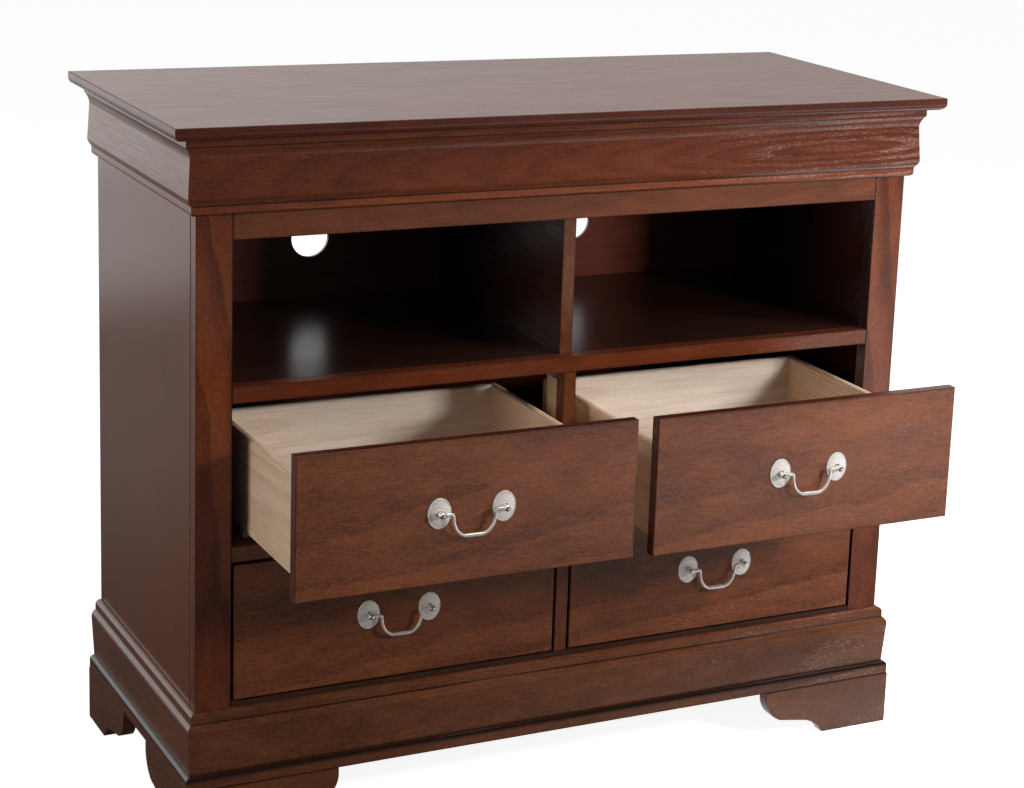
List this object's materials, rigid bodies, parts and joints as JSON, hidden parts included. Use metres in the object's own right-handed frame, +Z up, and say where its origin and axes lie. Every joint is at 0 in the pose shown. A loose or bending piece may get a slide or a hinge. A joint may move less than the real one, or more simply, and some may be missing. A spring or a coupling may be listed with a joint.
{
  "type": "tv armoire",
  "caption": "Low media chest with moulded crown and base, open bays with cable holes over inset drawers, swinging bail pulls and bracket feet.",
  "frame": {"origin": "on the floor under the middle of the whole object as it stands with its upper drawers pulled out", "axes": "+X to the right seen from the front, +Y to the back, +Z up; the drawers open along -Y"},
  "size_m": [1.067, 0.6572, 0.9],
  "materials": {
    "stained_wood": "satin",
    "back_board": "satin",
    "drawer_wood": "matte",
    "raw_wood": "matte",
    "satin_nickel": "satin",
    "nylon": "matte"
  },
  "bodies": {
    "cabinet": {"top_panel": "stained_wood", "crown_front": "stained_wood", "crown_left": "stained_wood", "crown_right": "stained_wood", "base_front": "stained_wood", "base_left": "stained_wood", "base_right": "stained_wood", "side_panel_left": "stained_wood", "stile_left": "stained_wood", "foot_front_left": "stained_wood", "foot_back_left": "stained_wood", "side_panel_right": "stained_wood", "stile_right": "stained_wood", "foot_front_right": "stained_wood", "foot_back_right": "stained_wood", "foot_blocks": "raw_wood", "top_rail": "stained_wood", "shelf_rail": "stained_wood", "bottom_rail": "stained_wood", "centre_stile": "stained_wood", "centre_post": "raw_wood", "drawer_rails": "stained_wood", "back_panel": "back_board", "shelf_panel": "stained_wood", "ceiling_panel": "back_board", "shelf_divider": "stained_wood", "rear_rails": "raw_wood", "drawer_guides": "raw_wood", "rail_glides": "nylon"},
    "drawer_upper_left": {"drawer_front_upper_left": "stained_wood", "box_sides_upper_left": "drawer_wood", "box_back_upper_left": "drawer_wood", "box_bottom_upper_left": "drawer_wood", "guide_shoe_upper_left": "nylon", "pull_mounts_upper_left": "satin_nickel"},
    "bail_upper_left": {"bail_upper_left": "satin_nickel"},
    "drawer_upper_right": {"drawer_front_upper_right": "stained_wood", "box_sides_upper_right": "drawer_wood", "box_back_upper_right": "drawer_wood", "box_bottom_upper_right": "drawer_wood", "guide_shoe_upper_right": "nylon", "pull_mounts_upper_right": "satin_nickel"},
    "bail_upper_right": {"bail_upper_right": "satin_nickel"},
    "drawer_lower_left": {"drawer_front_lower_left": "stained_wood", "box_sides_lower_left": "drawer_wood", "box_back_lower_left": "drawer_wood", "box_bottom_lower_left": "drawer_wood", "guide_shoe_lower_left": "nylon", "pull_mounts_lower_left": "satin_nickel"},
    "bail_lower_left": {"bail_lower_left": "satin_nickel"},
    "drawer_lower_right": {"drawer_front_lower_right": "stained_wood", "box_sides_lower_right": "drawer_wood", "box_back_lower_right": "drawer_wood", "box_bottom_lower_right": "drawer_wood", "guide_shoe_lower_right": "nylon", "pull_mounts_lower_right": "satin_nickel"},
    "bail_lower_right": {"bail_lower_right": "satin_nickel"}
  },
  "joints": [
    {"name": "drawer_upper_left_slide", "type": "slide", "parent": "cabinet", "child": "drawer_upper_left", "axis": [0, -1, 0], "range_m": [-0.2113, 0.0587]},
    {"name": "bail_upper_left_hinge", "type": "hinge", "parent": "drawer_upper_left", "child": "bail_upper_left", "pos_m": [-0.23037, -0.31815, 0.4658], "axis": [-1, 0, 0], "range_deg": [-13, 165]},
    {"name": "drawer_upper_right_slide", "type": "slide", "parent": "cabinet", "child": "drawer_upper_right", "axis": [0, -1, 0], "range_m": [-0.217, 0.053]},
    {"name": "bail_upper_right_hinge", "type": "hinge", "parent": "drawer_upper_right", "child": "bail_upper_right", "pos_m": [0.23037, -0.32385, 0.4658], "axis": [-1, 0, 0], "range_deg": [-13, 165]},
    {"name": "drawer_lower_left_slide", "type": "slide", "parent": "cabinet", "child": "drawer_lower_left", "axis": [0, -1, 0], "range_m": [0, 0.27]},
    {"name": "bail_lower_left_hinge", "type": "hinge", "parent": "drawer_lower_left", "child": "bail_lower_left", "pos_m": [-0.23037, -0.10685, 0.26513], "axis": [-1, 0, 0], "range_deg": [-13, 165]},
    {"name": "drawer_lower_right_slide", "type": "slide", "parent": "cabinet", "child": "drawer_lower_right", "axis": [0, -1, 0], "range_m": [0, 0.27]},
    {"name": "bail_lower_right_hinge", "type": "hinge", "parent": "drawer_lower_right", "child": "bail_lower_right", "pos_m": [0.23037, -0.10685, 0.26513], "axis": [-1, 0, 0], "range_deg": [-13, 165]}
  ]
}
